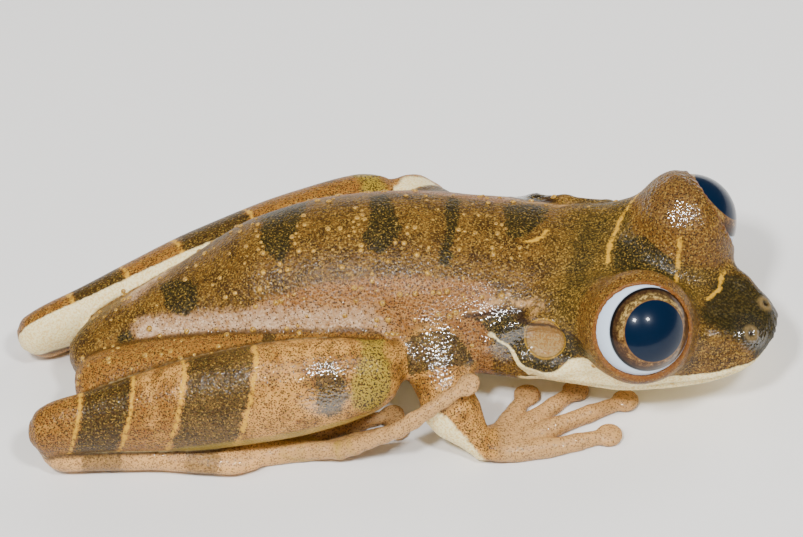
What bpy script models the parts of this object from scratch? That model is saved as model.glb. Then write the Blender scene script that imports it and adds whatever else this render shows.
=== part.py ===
"""A life-size tree frog, crouched with its legs folded and its head turned a little to the right.

Sizes are in millimetres, and MM turns them into metres. +X is ahead of the frog's hips, +Y is its left and
+Z is up. The belly, feet, heels and hands rest on Z = 0. The trunk and head are one loft along a spine that
bends to the right, and every eye and nostril is placed from that spine. Limbs run from joint to joint.
"""

import math

import bmesh
import bpy
import numpy as np
from mathutils import Matrix, Vector

MM = 0.001
GAP = 0.34                     # left between two nodes that touch

# Spine
LENGTH = 51.6                  # vent to snout, along the bent spine
HUMP = 20.0                    # from the vent to the highest point of the back, which stands at X = Y = 0
HEADINGS = ((0, 7), (10, 5), (20, -3), (29, -11), (36, -20), (41, -27), (LENGTH, -30))   # degrees left
NECK = 31.4                    # where the head is parted from the torso
TIP = 0.06                     # how short of each end of the spine the loft begins

# Head
EYE_AT, EYE_OUT, EYE_UP = 43.6, 5.1, 9.25    # along the spine, out from it, above the floor
EYE_RADIUS = 3.4
EYE_GAP = 0.26
EYE_YAW = 52.0                 # degrees from straight ahead
EYE_PITCH = 25.0
EYE_OPENING = 66.0             # degrees from the eye's axis to the lids
LID_THICK = 0.5
EAR_AT, EAR_OUT, EAR_UP = 36.1, 6.3, 7.45
EAR_RADIUS = 1.55
NOSE_AT, NOSE_OUT, NOSE_UP = 50.1, 1.3, 6.6
MOUTH_CORNER = 34.6
MOUTH_DEEP = 0.42

# Material colours, from the photograph
TAN = (0.42, 0.24, 0.11)
OLIVE = (0.20, 0.14, 0.06)
CREAM = (0.70, 0.60, 0.44)
EYE_BLUE = (0.02, 0.06, 0.13)

# Distance along the spine, half width, height of the back, height of the widest line, height of the belly
TRUNK = (
    (0.0, 0.0, 3.9, 3.6, 3.3),
    (0.5, 1.4, 4.8, 3.4, 2.1),
    (2.0, 2.6, 5.8, 3.6, 1.4),
    (5.0, 3.5, 7.1, 4.0, 0.9),
    (10.0, 4.7, 9.3, 4.7, 0.4),
    (15.0, 6.0, 11.6, 5.2, 0.0),
    (20.0, 6.9, 12.2, 5.2, -0.14),
    (25.0, 7.1, 12.0, 5.3, 0.05),
    (29.0, 7.1, 11.2, 5.2, 0.8),
    (33.0, 7.4, 10.5, 4.8, 1.3),
    (37.0, 7.5, 10.1, 4.5, 1.9),
    (41.5, 7.0, 9.6, 4.3, 1.9),
    (45.0, 5.6, 8.6, 4.1, 2.1),
    (48.0, 4.3, 7.8, 4.2, 2.7),
    (50.0, 3.2, 7.2, 4.6, 3.5),
    (51.0, 2.1, 6.6, 4.9, 4.2),
    (LENGTH, 0.0, 5.7, 5.4, 5.1),
)

# Joints, by side
HIP = {"right": (-17.9, -4.4, 4.0), "left": (-16.8, 0.9, 3.1)}
KNEE = {"right": (1.9, -6.8, 6.2), "left": (3.2, 7.2, 5.0)}
SHIN_TOP = {"right": (1.6, -9.1, 6.3), "left": (2.9, 8.7, 5.1)}
HEEL = {"right": (-21.4, -7.7, 3.8), "left": (-22.0, 2.5, 2.9)}
HOCK = {"right": (-20.9, -7.8, 1.3), "left": (-21.8, 3.2, 1.3)}
SOLE = {"right": (-9.6, -9.6, 0.85), "left": (-9.6, 7.6, 0.85)}
SHOULDER = {"right": (6.1, -5.2, 6.6), "left": (8.2, 3.4, 6.2)}
ELBOW = {"right": (6.3, -10.2, 3.6), "left": (5.8, 9.0, 4.6)}
WRIST = {"right": (8.3, -12.4, 1.1), "left": (9.2, 9.6, 1.1)}

# A share of the limb's length, and its half widths there along and across the way it is turned
THIGH_PROFILE = (
    (-0.07, 1.2, 1.3), (-0.02, 2.0, 2.1), (0.10, 2.5, 2.5), (0.28, 2.7, 2.7), (0.48, 2.7, 2.65),
    (0.68, 2.5, 2.4), (0.85, 2.25, 2.2), (0.96, 2.0, 2.05), (1.03, 1.5, 1.5), (1.065, 0.8, 0.8),
)
SHANK_PROFILE = (
    (-0.075, 0.9, 0.8), (-0.045, 1.9, 1.6), (0.02, 2.7, 2.2), (0.14, 3.3, 2.5), (0.30, 3.6, 2.7),
    (0.50, 3.5, 2.6), (0.70, 2.9, 2.2), (0.86, 2.3, 1.8), (0.97, 2.0, 1.6), (1.03, 1.5, 1.3),
    (1.055, 0.7, 0.6),
)
TARSUS_PROFILE = (
    (-0.10, 0.6, 0.6), (-0.06, 1.2, 1.1), (0.0, 1.55, 1.25), (0.25, 1.45, 1.2), (0.55, 1.4, 1.1),
    (0.85, 1.75, 0.95), (1.05, 1.9, 0.85), (1.2, 1.4, 0.7), (1.28, 0.7, 0.4),
)
UPPER_ARM_PROFILE = (
    (-0.30, 1.0, 1.0), (-0.15, 1.9, 1.9), (0.10, 2.6, 2.35), (0.45, 2.45, 2.2), (0.80, 2.0, 1.9),
    (1.0, 1.6, 1.6), (1.12, 0.9, 0.9),
)
FOREARM_PROFILE = (
    (-0.30, 0.8, 0.8), (-0.18, 1.5, 1.4), (0.05, 1.95, 1.75), (0.32, 1.9, 1.7), (0.60, 1.5, 1.4),
    (0.85, 1.1, 1.05), (0.96, 0.95, 0.9), (1.0, 0.6, 0.6),
)
PALM_PROFILE = (
    (-0.32, 0.6, 0.5), (-0.18, 1.0, 0.9), (0.15, 1.25, 0.95), (0.60, 1.6, 0.85), (0.95, 1.5, 0.75),
    (1.15, 0.9, 0.5),
)

# Digits, from the inner one out
TOES = {
    "right": (
        ((-7.8, -8.4, 0.55), (-4.9, -7.2, 0.36)),
        ((-7.1, -8.9, 0.55), (-2.1, -7.4, 0.36)),
        ((-6.6, -9.3, 0.55), (-1.8, -8.6, 0.45), (1.8, -8.0, 0.36)),
        ((-6.6, -9.8, 0.7), (-1.4, -11.0, 1.0), (2.8, -12.3, 3.8), (7.4, -11.2, 5.85)),
        ((-7.2, -10.2, 0.55), (-2.6, -10.3, 0.5), (2.0, -9.4, 0.36)),
    ),
    "left": (
        ((-7.6, 6.7, 0.55), (-4.8, 6.0, 0.36)),
        ((-6.9, 7.3, 0.55), (-1.7, 6.6, 0.36)),
        ((-6.3, 7.9, 0.55), (-1.4, 8.3, 0.45), (2.4, 8.2, 0.36)),
        ((-6.3, 8.4, 0.6), (-1.1, 9.6, 0.5), (5.2, 10.9, 0.36)),
        ((-7.1, 9.0, 0.55), (-3.1, 10.6, 0.5), (0.4, 11.9, 0.36)),
    ),
}
FINGERS = {
    "right": (
        ((9.9, -11.1, 0.6), (11.7, -8.4, 0.4)),
        ((10.4, -11.6, 0.6), (15.0, -8.4, 0.4)),
        ((10.6, -12.3, 0.6), (14.6, -10.9, 0.5), (18.2, -9.8, 0.4)),
        ((10.4, -13.0, 0.6), (13.6, -13.0, 0.5), (16.6, -12.6, 0.4)),
    ),
    "left": (
        ((10.8, 8.5, 0.6), (12.6, 5.4, 0.4)),
        ((11.4, 9.0, 0.6), (15.8, 5.4, 0.4)),
        ((11.7, 9.6, 0.6), (15.3, 8.0, 0.5), (18.6, 6.6, 0.4)),
        ((11.5, 10.3, 0.6), (14.0, 10.1, 0.5), (16.6, 9.6, 0.4)),
    ),
}
TOE_THICK, TOE_DISC = 0.62, 0.92
FINGER_THICK, FINGER_DISC = 0.66, 1.0
TOE_WEB, FINGER_WEB = 0.62, 0.22      # share of the digits' length that the web reaches
WEB_THICK = 0.5

SIDES = (("right", -1), ("left", 1))


for old in list(bpy.data.objects):
    bpy.data.objects.remove(old)
MATERIALS = {}
UNCUT = {}                     # each node's mesh from before it was trimmed


def collection(name):
    made = bpy.data.collections.new(name)
    bpy.context.scene.collection.children.link(made)
    return made


def material(name, colour, roughness):
    made = bpy.data.materials.new(name)
    made.use_nodes = True
    shader = made.node_tree.nodes["Principled BSDF"]
    shader.inputs["Base Color"].default_value = (*colour, 1)
    shader.inputs["Roughness"].default_value = roughness
    shader.inputs["Metallic"].default_value = 0
    MATERIALS[name] = made


FROG = collection("tree_frog")
CUTTERS = collection("cutters")
material("skin_back", TAN, 0.38)
material("skin_dark", OLIVE, 0.40)
material("skin_pale", CREAM, 0.40)
material("eye", EYE_BLUE, 0.08)


def solid(name, bm, coat, home=None):
    """An object from a bmesh in millimetres, with its normals outwards and in metres."""
    bmesh.ops.recalc_face_normals(bm, faces=bm.faces)
    bmesh.ops.scale(bm, vec=(MM, MM, MM), verts=bm.verts)
    mesh = bpy.data.meshes.new(name)
    bm.to_mesh(mesh)
    bm.free()
    mesh.materials.append(MATERIALS[coat])
    mesh.shade_smooth()
    made = bpy.data.objects.new(name, mesh)
    (home or FROG).objects.link(made)
    return made


def smooth(rows, column, at):
    """The value in one column of rows, read between them by a cubic that doesn't overshoot."""
    s = np.array([row[0] for row in rows], float)
    v = np.array([row[column] for row in rows], float)
    slope = np.diff(v) / np.diff(s)
    both = slope[1:] * slope[:-1]
    inner = np.where(both > 0, 2 * both / (slope[1:] + slope[:-1] + 1e-12), 0)
    tangent = np.concatenate([[slope[0]], inner, [slope[-1]]])
    i = int(np.clip(np.searchsorted(s, at) - 1, 0, len(s) - 2))
    width = s[i + 1] - s[i]
    t = min(max((at - s[i]) / width, 0.0), 1.0)
    return float(
        (1 + 2 * t) * (1 - t) ** 2 * v[i]
        + t * (1 - t) ** 2 * width * tangent[i]
        + t * t * (3 - 2 * t) * v[i + 1]
        + t * t * (t - 1) * width * tangent[i + 1]
    )


def spine_point(at):
    """The spine's place over the floor, stepped out from the hump."""
    steps = 60
    point = Vector((0, 0, 0))
    for k in range(steps):
        middle = HUMP + (at - HUMP) * (k + 0.5) / steps
        turn = math.radians(smooth(HEADINGS, 1, middle))
        point += Vector((math.cos(turn), math.sin(turn), 0)) * (at - HUMP) / steps
    return point


def spine_left(at):
    """The direction to the frog's left at a distance along the spine."""
    turn = math.radians(smooth(HEADINGS, 1, at))
    return Vector((-math.sin(turn), math.cos(turn), 0))


def place(at, left, up):
    """A point given along the spine, out to the left of it and above the floor."""
    point = spine_point(at) + spine_left(at) * left
    point.z = up
    return point


def loft(rings):
    """A closed skin over rings of points, with each end drawn to the middle of its last ring."""
    bm = bmesh.new()
    rows = [[bm.verts.new(p) for p in ring] for ring in rings]
    for a, b in zip(rows, rows[1:]):
        for k in range(len(a)):
            n = (k + 1) % len(a)
            bm.faces.new((a[k], a[n], b[n], b[k]))
    for ring, row in ((rings[0], rows[0]), (rings[-1], rows[-1])):
        pole = bm.verts.new(sum(ring, Vector()) / len(ring))
        for k in range(len(row)):
            bm.faces.new((row[k], row[(k + 1) % len(row)], pole))
    return bm


def section(at, sides):
    """One ring of the trunk or head, with the mouth drawn in as a groove between the lips."""
    half, top, widest, bottom = (smooth(TRUNK, column, at) for column in (1, 2, 3, 4))
    centre, left = spine_point(at), spine_left(at)
    in_mouth = min(max(at - MOUTH_CORNER, 0.0), 1.0) * min(max((LENGTH - 0.2 - at) / 0.3, 0.0), 1.0)
    square = 2.0 + 0.5 * min(max((at - 39) / 6, 0.0), 1.0)
    ring = []
    for k in range(sides):
        angle = 2 * math.pi * k / sides
        across, rise = math.cos(angle), math.sin(angle)
        out = half * math.copysign(abs(across) ** (2 / square), across)
        reach = top - widest if rise > 0 else widest - bottom
        up = widest + reach * math.copysign(abs(rise) ** (2 / square), rise)
        if k % (sides // 2) == 0:
            out -= math.copysign(min(MOUTH_DEEP, 0.5 * half) * in_mouth, across)
        ring.append(centre + left * out + Vector((0, 0, up)))
    return ring


def trunk_piece(name, first, last, count, at_end, coat, sides):
    """A part of the trunk's loft, with its rings closer together towards its rounded end."""
    rings = []
    for k in range(count + 1):
        t = k / count
        bent = math.sin(t * math.pi / 2) if at_end else 1 - math.cos(t * math.pi / 2)
        rings.append(section(first + (last - first) * (0.45 * t + 0.55 * bent), sides))
    return solid(name, loft(rings), coat)


def limb_rings(rows, side_way, sides):
    """Rings along a limb. Each row is a point, the half width along side_way and the half width across it."""
    points = [row[0] for row in rows]
    rings = []
    for k, (point, wide, deep) in enumerate(rows):
        ahead = (points[min(k + 1, len(points) - 1)] - points[max(k - 1, 0)]).normalized()
        u = (side_way - ahead * side_way.dot(ahead)).normalized()
        v = ahead.cross(u)
        turns = [2 * math.pi * j / sides for j in range(sides)]
        rings.append([point + u * wide * math.cos(turn) + v * deep * math.sin(turn) for turn in turns])
    return rings


def muscle(name, start, end, profile, side_way, coat, sides, home=None):
    """A limb segment from joint to joint."""
    start, end = Vector(start), Vector(end)
    rows = [(start.lerp(end, share), wide, deep) for share, wide, deep in profile]
    return solid(name, loft(limb_rings(rows, Vector(side_way), sides)), coat, home)


def walk(points, share):
    """The point a share of the way along a run of points."""
    spans = [(b - a).length for a, b in zip(points, points[1:])]
    left = share * sum(spans)
    for a, b, span in zip(points, points[1:], spans):
        if left <= span:
            return a.lerp(b, left / span)
        left -= span
    return points[-1].copy()


def digit(name, points, thick, disc, coat):
    """A finger or toe: a tapered run through its points, then the flat disc at its tip."""
    rows = []
    steps = 6
    for k in range(steps + 1):
        girth = thick * (1.12 - 0.32 * k / steps)
        rows.append((walk(points, k / steps), girth, girth * 0.92))
    tip = points[-1]
    ahead = (points[-1] - points[-2]).normalized()
    for step, wide, deep in ((0.25, 0.75, 0.8), (0.75, 1.0, 0.85), (1.3, 0.82, 0.7), (1.62, 0.4, 0.35)):
        rows.append((tip + ahead * disc * step, disc * wide, max(disc * 0.52 * deep, 0.26)))
    side_way = Vector((0, 0, 1)).cross(points[-1] - points[0])
    return solid(name, loft(limb_rings(rows, side_way, 8)), coat, CUTTERS)


def web(name, first, second, reach, coat):
    """The skin between two digits, out to a share of their length, with a hollow free edge."""
    bm = bmesh.new()
    rows, columns = 3, 4
    lift = Vector((0, 0, WEB_THICK / 2))
    grid = {}
    for j in range(columns + 1):
        sag = 1 - 0.42 * math.sin(math.pi * j / columns)
        for i in range(rows + 1):
            share = 0.04 + (reach * sag - 0.04) * i / rows
            p = walk(first, share).lerp(walk(second, share), j / columns)
            for side in (1, -1):
                grid[i, j, side] = bm.verts.new(p + lift * side)
    for i in range(rows):
        for j in range(columns):
            for side in (1, -1):
                corners = [grid[a, b, side] for a, b in ((i, j), (i + 1, j), (i + 1, j + 1), (i, j + 1))]
                bm.faces.new(corners[:3])
                bm.faces.new((corners[0], corners[2], corners[3]))
    for i in range(rows):
        for j in (0, columns):
            bm.faces.new((grid[i, j, 1], grid[i + 1, j, 1], grid[i + 1, j, -1], grid[i, j, -1]))
    for j in range(columns):
        for i in (0, rows):
            bm.faces.new((grid[i, j, 1], grid[i, j + 1, 1], grid[i, j + 1, -1], grid[i, j, -1]))
    return solid(name, bm, coat, CUTTERS)


def ball(name, centre, radius, coat, turn=None, segments=24, rings=14, home=None):
    bm = bmesh.new()
    bmesh.ops.create_uvsphere(bm, u_segments=segments, v_segments=rings, radius=radius)
    if turn is not None:
        bmesh.ops.transform(bm, matrix=turn, verts=bm.verts)
    bmesh.ops.translate(bm, vec=centre, verts=bm.verts)
    return solid(name, bm, coat, home or CUTTERS)


def facing(direction):
    """A turn that takes Z to the direction."""
    return direction.to_track_quat("Z", "Y").to_matrix().to_4x4()


def rim(name, centre, direction, major, minor, coat, around=20, tube=6):
    """A torus whose axis is the direction."""
    bm = bmesh.new()
    rows = []
    for k in range(around):
        turn = 2 * math.pi * k / around
        row = []
        for j in range(tube):
            far = major + minor * math.cos(2 * math.pi * j / tube)
            up = minor * math.sin(2 * math.pi * j / tube)
            row.append(bm.verts.new((far * math.cos(turn), far * math.sin(turn), up)))
        rows.append(row)
    for k in range(around):
        a, b = rows[k], rows[(k + 1) % around]
        for j in range(tube):
            n = (j + 1) % tube
            bm.faces.new((a[j], b[j], b[n], a[n]))
    bmesh.ops.transform(bm, matrix=Matrix.Translation(centre) @ facing(direction), verts=bm.verts)
    return solid(name, bm, coat, CUTTERS)


def head_way(side, yaw, pitch):
    """A direction from the head, turned from straight ahead out to one side and then up."""
    left = spine_left(EYE_AT)
    ahead = Vector((left.y, -left.x, 0))
    flat = ahead * math.cos(math.radians(yaw)) + left * side * math.sin(math.radians(yaw))
    return (flat * math.cos(math.radians(pitch)) + Vector((0, 0, math.sin(math.radians(pitch))))).normalized()


def boolean(target, operation, other):
    cut = target.modifiers.new(f"{operation} {other.name}".lower(), "BOOLEAN")
    cut.operation = operation
    if isinstance(other, bpy.types.Collection):
        cut.operand_type = "COLLECTION"
        cut.collection = other
    else:
        cut.object = other
        other.hide_render = True
        other.display_type = "WIRE"
    cut.solver = "EXACT"
    cut.use_self = True


def settle(target):
    """Makes the evaluated mesh the object's own, keeps its largest closed surface and drops the modifiers."""
    bpy.context.view_layer.update()
    graph = bpy.context.evaluated_depsgraph_get()
    mesh = bpy.data.meshes.new_from_object(target.evaluated_get(graph))
    target.modifiers.clear()
    target.data = mesh
    bm = bmesh.new()
    bm.from_mesh(mesh)
    bmesh.ops.dissolve_degenerate(bm, dist=1e-6, edges=bm.edges)
    bmesh.ops.holes_fill(bm, edges=[edge for edge in bm.edges if edge.is_boundary], sides=6)
    bmesh.ops.triangulate(bm, faces=bm.faces)
    left = set(bm.verts)
    shells = []
    while left:
        shell, edge = set(), [left.pop()]
        while edge:
            vert = edge.pop()
            shell.add(vert)
            for link in vert.link_edges:
                other = link.other_vert(vert)
                if other in left:
                    left.discard(other)
                    edge.append(other)
        shells.append(shell)
    shells.sort(key=len)
    for shell in shells[:-1]:
        bmesh.ops.delete(bm, geom=list(shell), context="VERTS")
    bm.to_mesh(mesh)
    bm.free()
    mesh.shade_smooth()


def fuse(target, pieces):
    """Joins the pieces to the target by one Boolean union, and removes them."""
    group = collection(f"{target.name}_pieces")
    for piece in pieces:
        for home in piece.users_collection:
            home.objects.unlink(piece)
        group.objects.link(piece)
    boolean(target, "UNION", group)
    settle(target)
    for piece in pieces:
        bpy.data.objects.remove(piece)
    bpy.data.collections.remove(group)


def trim(target, *others):
    """Cuts the target back from the nodes that it touches, each swollen by the gap, and from the floor."""
    UNCUT[target.name] = target.data.copy()
    for other in others:
        grown = bpy.data.objects.new(f"{other.name}_grown", UNCUT[other.name].copy())
        swell = grown.modifiers.new("swell", "DISPLACE")
        swell.strength = GAP * MM
        swell.mid_level = 0
        CUTTERS.objects.link(grown)
        boolean(target, "DIFFERENCE", grown)
    boolean(target, "DIFFERENCE", UNDER)
    settle(target)


under = bmesh.new()
bmesh.ops.create_cube(under, size=100)
bmesh.ops.translate(under, vec=(0, 0, -50), verts=under.verts)
UNDER = solid("under", under, "skin_pale", CUTTERS)

torso = trunk_piece("torso", TIP, NECK - GAP / 2, 16, False, "skin_back", 24)
trim(torso)
head = trunk_piece("head", NECK + GAP / 2, LENGTH - TIP, 22, True, "skin_back", 32)

# Eyes, ears and nostrils
head_pieces = []
for name, side in SIDES:
    eye = place(EYE_AT, side * EYE_OUT, EYE_UP)
    ear = place(EAR_AT, side * EAR_OUT, EAR_UP)
    nostril = place(NOSE_AT, side * NOSE_OUT, NOSE_UP)
    lid_radius = EYE_RADIUS + EYE_GAP + LID_THICK
    head_pieces.append(ball(f"lid_{name}", eye, lid_radius, "skin_back", segments=20, rings=12))
    head_pieces.append(rim(f"ear_{name}", ear, head_way(side, 91, 33), EAR_RADIUS, 0.28, "skin_dark"))
    head_pieces.append(ball(f"nostril_{name}", nostril, 0.72, "skin_back", segments=10, rings=6))
fuse(head, head_pieces)
for name, side in SIDES:
    eye = place(EYE_AT, side * EYE_OUT, EYE_UP)
    gaze = head_way(side, EYE_YAW, EYE_PITCH)
    reach = 2.6
    bm = bmesh.new()
    wide = reach * math.tan(math.radians(EYE_OPENING))
    bmesh.ops.create_cone(bm, cap_ends=True, segments=24, radius1=0.3, radius2=wide, depth=reach)
    bmesh.ops.translate(bm, vec=(0, 0, reach / 2), verts=bm.verts)
    bmesh.ops.transform(bm, matrix=Matrix.Translation(eye) @ facing(gaze), verts=bm.verts)
    pit = place(NOSE_AT + 0.25, side * (NOSE_OUT + 0.4), NOSE_UP + 0.62)
    socket = ball(f"socket_{name}", eye, EYE_RADIUS + EYE_GAP, "eye", segments=20, rings=12)
    boolean(head, "DIFFERENCE", socket)
    boolean(head, "DIFFERENCE", solid(f"opening_{name}", bm, "eye", CUTTERS))
    boolean(head, "DIFFERENCE", ball(f"pit_{name}", pit, 0.34, "eye", segments=8, rings=5))
    ball(f"eye_{name}", eye, EYE_RADIUS, "eye", turn=facing(gaze), home=FROG)
settle(head)
UNCUT["head"] = head.data

# Legs and arms. Each node is trimmed by the ones made before it.
for name, side in SIDES:
    turn = (0, -0.35 * side, 1)
    shank = muscle(f"shank_{name}", SHIN_TOP[name], HEEL[name], SHANK_PROFILE, turn, "skin_back", 12)
    trim(shank, torso)
    thigh = muscle(f"thigh_{name}", HIP[name], KNEE[name], THIGH_PROFILE, (0, 0, 1), "skin_back", 12)
    trim(thigh, torso, shank)

    foot = muscle(f"foot_{name}", HOCK[name], SOLE[name], TARSUS_PROFILE, (0, 1, 0), "skin_pale", 10)
    toes = [[Vector(p) for p in toe] for toe in TOES[name]]
    pieces = []
    for k, toe in enumerate(toes):
        pieces.append(digit(f"toe_{k}", toe, TOE_THICK, TOE_DISC * (1 if k else 0.8), "skin_pale"))
    for k in range(4):
        pieces.append(web(f"web_{k}", toes[k], toes[k + 1], TOE_WEB, "skin_pale"))
    fuse(foot, pieces)
    trim(foot, shank, thigh, torso, head)

    turn = (1, 0, 0)
    ends = (SHOULDER[name], ELBOW[name])
    upper_arm = muscle(f"upper_arm_{name}", *ends, UPPER_ARM_PROFILE, turn, "skin_back", 12)
    trim(upper_arm, torso, head, thigh, shank, foot)
    forearm = muscle(f"forearm_{name}", ELBOW[name], WRIST[name], FOREARM_PROFILE, turn, "skin_back", 12)
    trim(forearm, upper_arm, torso, head, thigh, shank, foot)

    fingers = [[Vector(p) for p in finger] for finger in FINGERS[name]]
    knuckles = sum((finger[0] for finger in fingers), Vector()) / 4
    hand = muscle(f"hand_{name}", WRIST[name], knuckles, PALM_PROFILE, (0, 1, 0), "skin_pale", 10)
    pieces = [digit(f"finger_{k}", f, FINGER_THICK, FINGER_DISC, "skin_pale") for k, f in enumerate(fingers)]
    for k in range(3):
        pieces.append(web(f"web_{k}", fingers[k], fingers[k + 1], FINGER_WEB, "skin_pale"))
    fuse(hand, pieces)
    trim(hand, forearm, foot)
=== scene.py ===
"""The look of the life-size tree frog: one skin over its body, head and limbs, warts on it, and two eyes.

Sizes are in millimetres and MM turns them into metres. The frame is the CAD model's own: +X ahead of the
hips, +Y to the frog's left, +Z up, the floor at Z = 0.
"""

import math

import bpy
import numpy as np
from mathutils import Matrix, Vector


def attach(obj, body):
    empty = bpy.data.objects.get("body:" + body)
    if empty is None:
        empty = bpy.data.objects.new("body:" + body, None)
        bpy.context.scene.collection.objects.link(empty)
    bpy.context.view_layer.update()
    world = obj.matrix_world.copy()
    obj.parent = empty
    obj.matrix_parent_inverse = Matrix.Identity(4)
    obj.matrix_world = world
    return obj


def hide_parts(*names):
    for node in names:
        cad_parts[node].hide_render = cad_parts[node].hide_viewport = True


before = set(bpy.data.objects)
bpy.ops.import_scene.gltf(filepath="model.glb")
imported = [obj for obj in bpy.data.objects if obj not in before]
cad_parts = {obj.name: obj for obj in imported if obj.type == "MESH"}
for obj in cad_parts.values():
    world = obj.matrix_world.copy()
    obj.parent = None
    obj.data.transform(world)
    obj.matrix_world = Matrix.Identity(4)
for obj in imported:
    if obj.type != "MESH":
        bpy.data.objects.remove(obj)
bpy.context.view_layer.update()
MM = 0.001


# Camera. It looks down on the frog's right side from a hand's length above the back, and is rolled a
# little, so that the back runs up to the right.
PHOTO_WIDE, PHOTO_HIGH = 803, 537
LOOK_DOWN, ROLL = math.radians(47), math.radians(8)
CAMERA_FAR = 240.0
MM_PER_PIXEL = 0.070
HUMP_PIXEL = (330, 226)
HUMP_POINT = Vector((0, 0, 12.2))

ahead = Vector((0, math.cos(LOOK_DOWN), -math.sin(LOOK_DOWN)))
level = Vector((1, 0, 0))
upright = level.cross(ahead)
right = level * math.cos(ROLL) - upright * math.sin(ROLL)
up = level * math.sin(ROLL) + upright * math.cos(ROLL)
off_right = (HUMP_PIXEL[0] - PHOTO_WIDE / 2) * MM_PER_PIXEL
off_down = (HUMP_PIXEL[1] - PHOTO_HIGH / 2) * MM_PER_PIXEL
eye_point = HUMP_POINT - ahead * CAMERA_FAR - right * off_right + up * off_down
lens = bpy.data.cameras.new("camera")
lens.sensor_width = 36
lens.lens = 36 * CAMERA_FAR / MM_PER_PIXEL / PHOTO_WIDE
lens.clip_start = 0.01
camera = bpy.data.objects.new("camera", lens)
camera.matrix_world = Matrix.Translation(eye_point * MM) @ Matrix((right, up, -ahead)).transposed().to_4x4()
bpy.context.scene.collection.objects.link(camera)
bpy.context.scene.camera = camera


# Floor and light. A pale sheet of paper under four broad soft lamps, with a small one on either side of
# the camera that draws the bright glints on wet skin and on the eyes.
FLOOR_SIZE = 3000
LIT_POINT = Vector((4, -2, 6))


def new_object(name, data):
    """Puts a mesh or a lamp into the scene."""
    made = bpy.data.objects.new(name, data)
    bpy.context.scene.collection.objects.link(made)
    return made


def new_paint(name):
    """A new material with its tree and its surface."""
    made = bpy.data.materials.new(name)
    made.use_nodes = True
    return made, made.node_tree, made.node_tree.nodes["Principled BSDF"]


def plug(made, sockets):
    """Fills a node's inputs from pairs of an input's name or place and a value or another output."""
    for socket, value in sockets:
        if isinstance(value, bpy.types.NodeSocket):
            tree.links.new(value, made.inputs[socket])
        else:
            made.inputs[socket].default_value = value


floor_mesh = bpy.data.meshes.new("floor")
half = FLOOR_SIZE / 2 * MM
edge = [(-half, -half, 0), (half, -half, 0), (half, half, 0), (-half, half, 0)]
floor_mesh.from_pydata(edge, [], [(0, 1, 2, 3)])
paper, tree, coat = new_paint("pale_paper")
plug(coat, (("Base Color", (0.86, 0.85, 0.83, 1)), ("Roughness", 0.9)))
floor_mesh.materials.append(paper)
new_object("floor", floor_mesh)

sky = bpy.data.worlds.new("studio")
sky.use_nodes = True
plug(sky.node_tree.nodes["Background"], (("Color", (1.0, 0.98, 0.95, 1)), ("Strength", 0.10)))
bpy.context.scene.world = sky


def lamp(name, place, size, watts, tint, mirrored=False):
    """A square area light that faces the frog. Only the small ones are mirrored in skin and eyes."""
    light = bpy.data.lights.new(name, "AREA")
    light.size = size * MM
    light.energy = watts
    light.color = tint
    made = new_object(name, light)
    made.location = Vector(place) * MM
    made.visible_glossy = mirrored
    made.rotation_euler = (LIT_POINT - Vector(place)).to_track_quat("-Z", "Y").to_euler()


lamp("key", (-270, -40, 250), 150, 0.5, (1.0, 0.97, 0.92))
lamp("fill", (210, 170, 160), 150, 0.45, (0.97, 0.98, 1.0))
lamp("back", (-40, 300, 220), 220, 0.3, (1.0, 0.98, 0.95))
lamp("low", (60, -290, 70), 160, 0.16, (1.0, 0.98, 0.95))
lamp("glint_left", eye_point - right * 72 + up * 66, 30, 0.62, (1, 1, 1), mirrored=True)
lamp("glint_right", eye_point + right * 70 + up * 76, 30, 0.5, (1, 1, 1), mirrored=True)


# Skin, one piece over the whole animal. It is worked out as a distance field on a grid, in which the
# trunk, head, muscles, digits, webs and folds run into each other as flesh does, and its zero surface is
# the mesh.
STEP = 0.23
LOW = np.array((-24.6, -17.0, -0.5))
HIGH = np.array((31.4, 13.8, 13.4))
counts = np.ceil((HIGH - LOW) / STEP).astype(int) + 1
GRID = [LOW[k] + STEP * np.arange(counts[k]) for k in range(3)]


def soft_min(a, b, width):
    """The lesser of two distances, with the crease between them filled over a width."""
    overlap = np.maximum(width - np.abs(a - b), 0) / width
    return np.minimum(a, b) - overlap * overlap * width * 0.25


def window(low, high):
    """The part of the grid between two corners, as slices and as its points."""
    first = np.maximum(((low - LOW) / STEP).astype(int), 0)
    last = np.maximum(((high - LOW) / STEP).astype(int) + 2, 2)
    cut = tuple(slice(a, b) for a, b in zip(first, last))
    return cut, np.stack(np.meshgrid(*(GRID[k][cut[k]] for k in range(3)), indexing="ij"), -1)


def evened(ratio):
    """Turns a ratio that is 1 on a surface into a distance from it."""
    slope = np.sqrt(sum(g * g for g in np.gradient(ratio, STEP)))
    return (ratio - 1) / np.maximum(slope, 0.03)


def put(shape, low, high, blend, reach=1.2):
    """Joins a shape to the field of distances. The shape gives distances at points."""
    cut, points = window(np.array(low) - reach, np.array(high) + reach)
    field[cut] = soft_min(field[cut], shape(points), blend)


def carve(shape, low, high, blend):
    """Takes a shape out of the field."""
    cut, points = window(np.array(low) - 0.8, np.array(high) + 0.8)
    field[cut] = -soft_min(-field[cut], shape(points), blend)


def distance(points, centre):
    return np.sqrt(((points - np.array(centre)) ** 2).sum(-1))


def polar(points, centre, way):
    """How far points lie along a direction from a centre, and how far off to the side of it."""
    offset = points - centre
    axial = offset @ way
    return axial, np.sqrt(np.maximum((offset ** 2).sum(-1) - axial ** 2, 0))


def angle_from(points, centre, way):
    """The angle in degrees, seen from a centre, between a direction and each point."""
    far = np.maximum(distance(points, centre), 1e-6)
    return np.degrees(np.arccos(np.clip((points - centre) @ way / far, -1, 1)))


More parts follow.
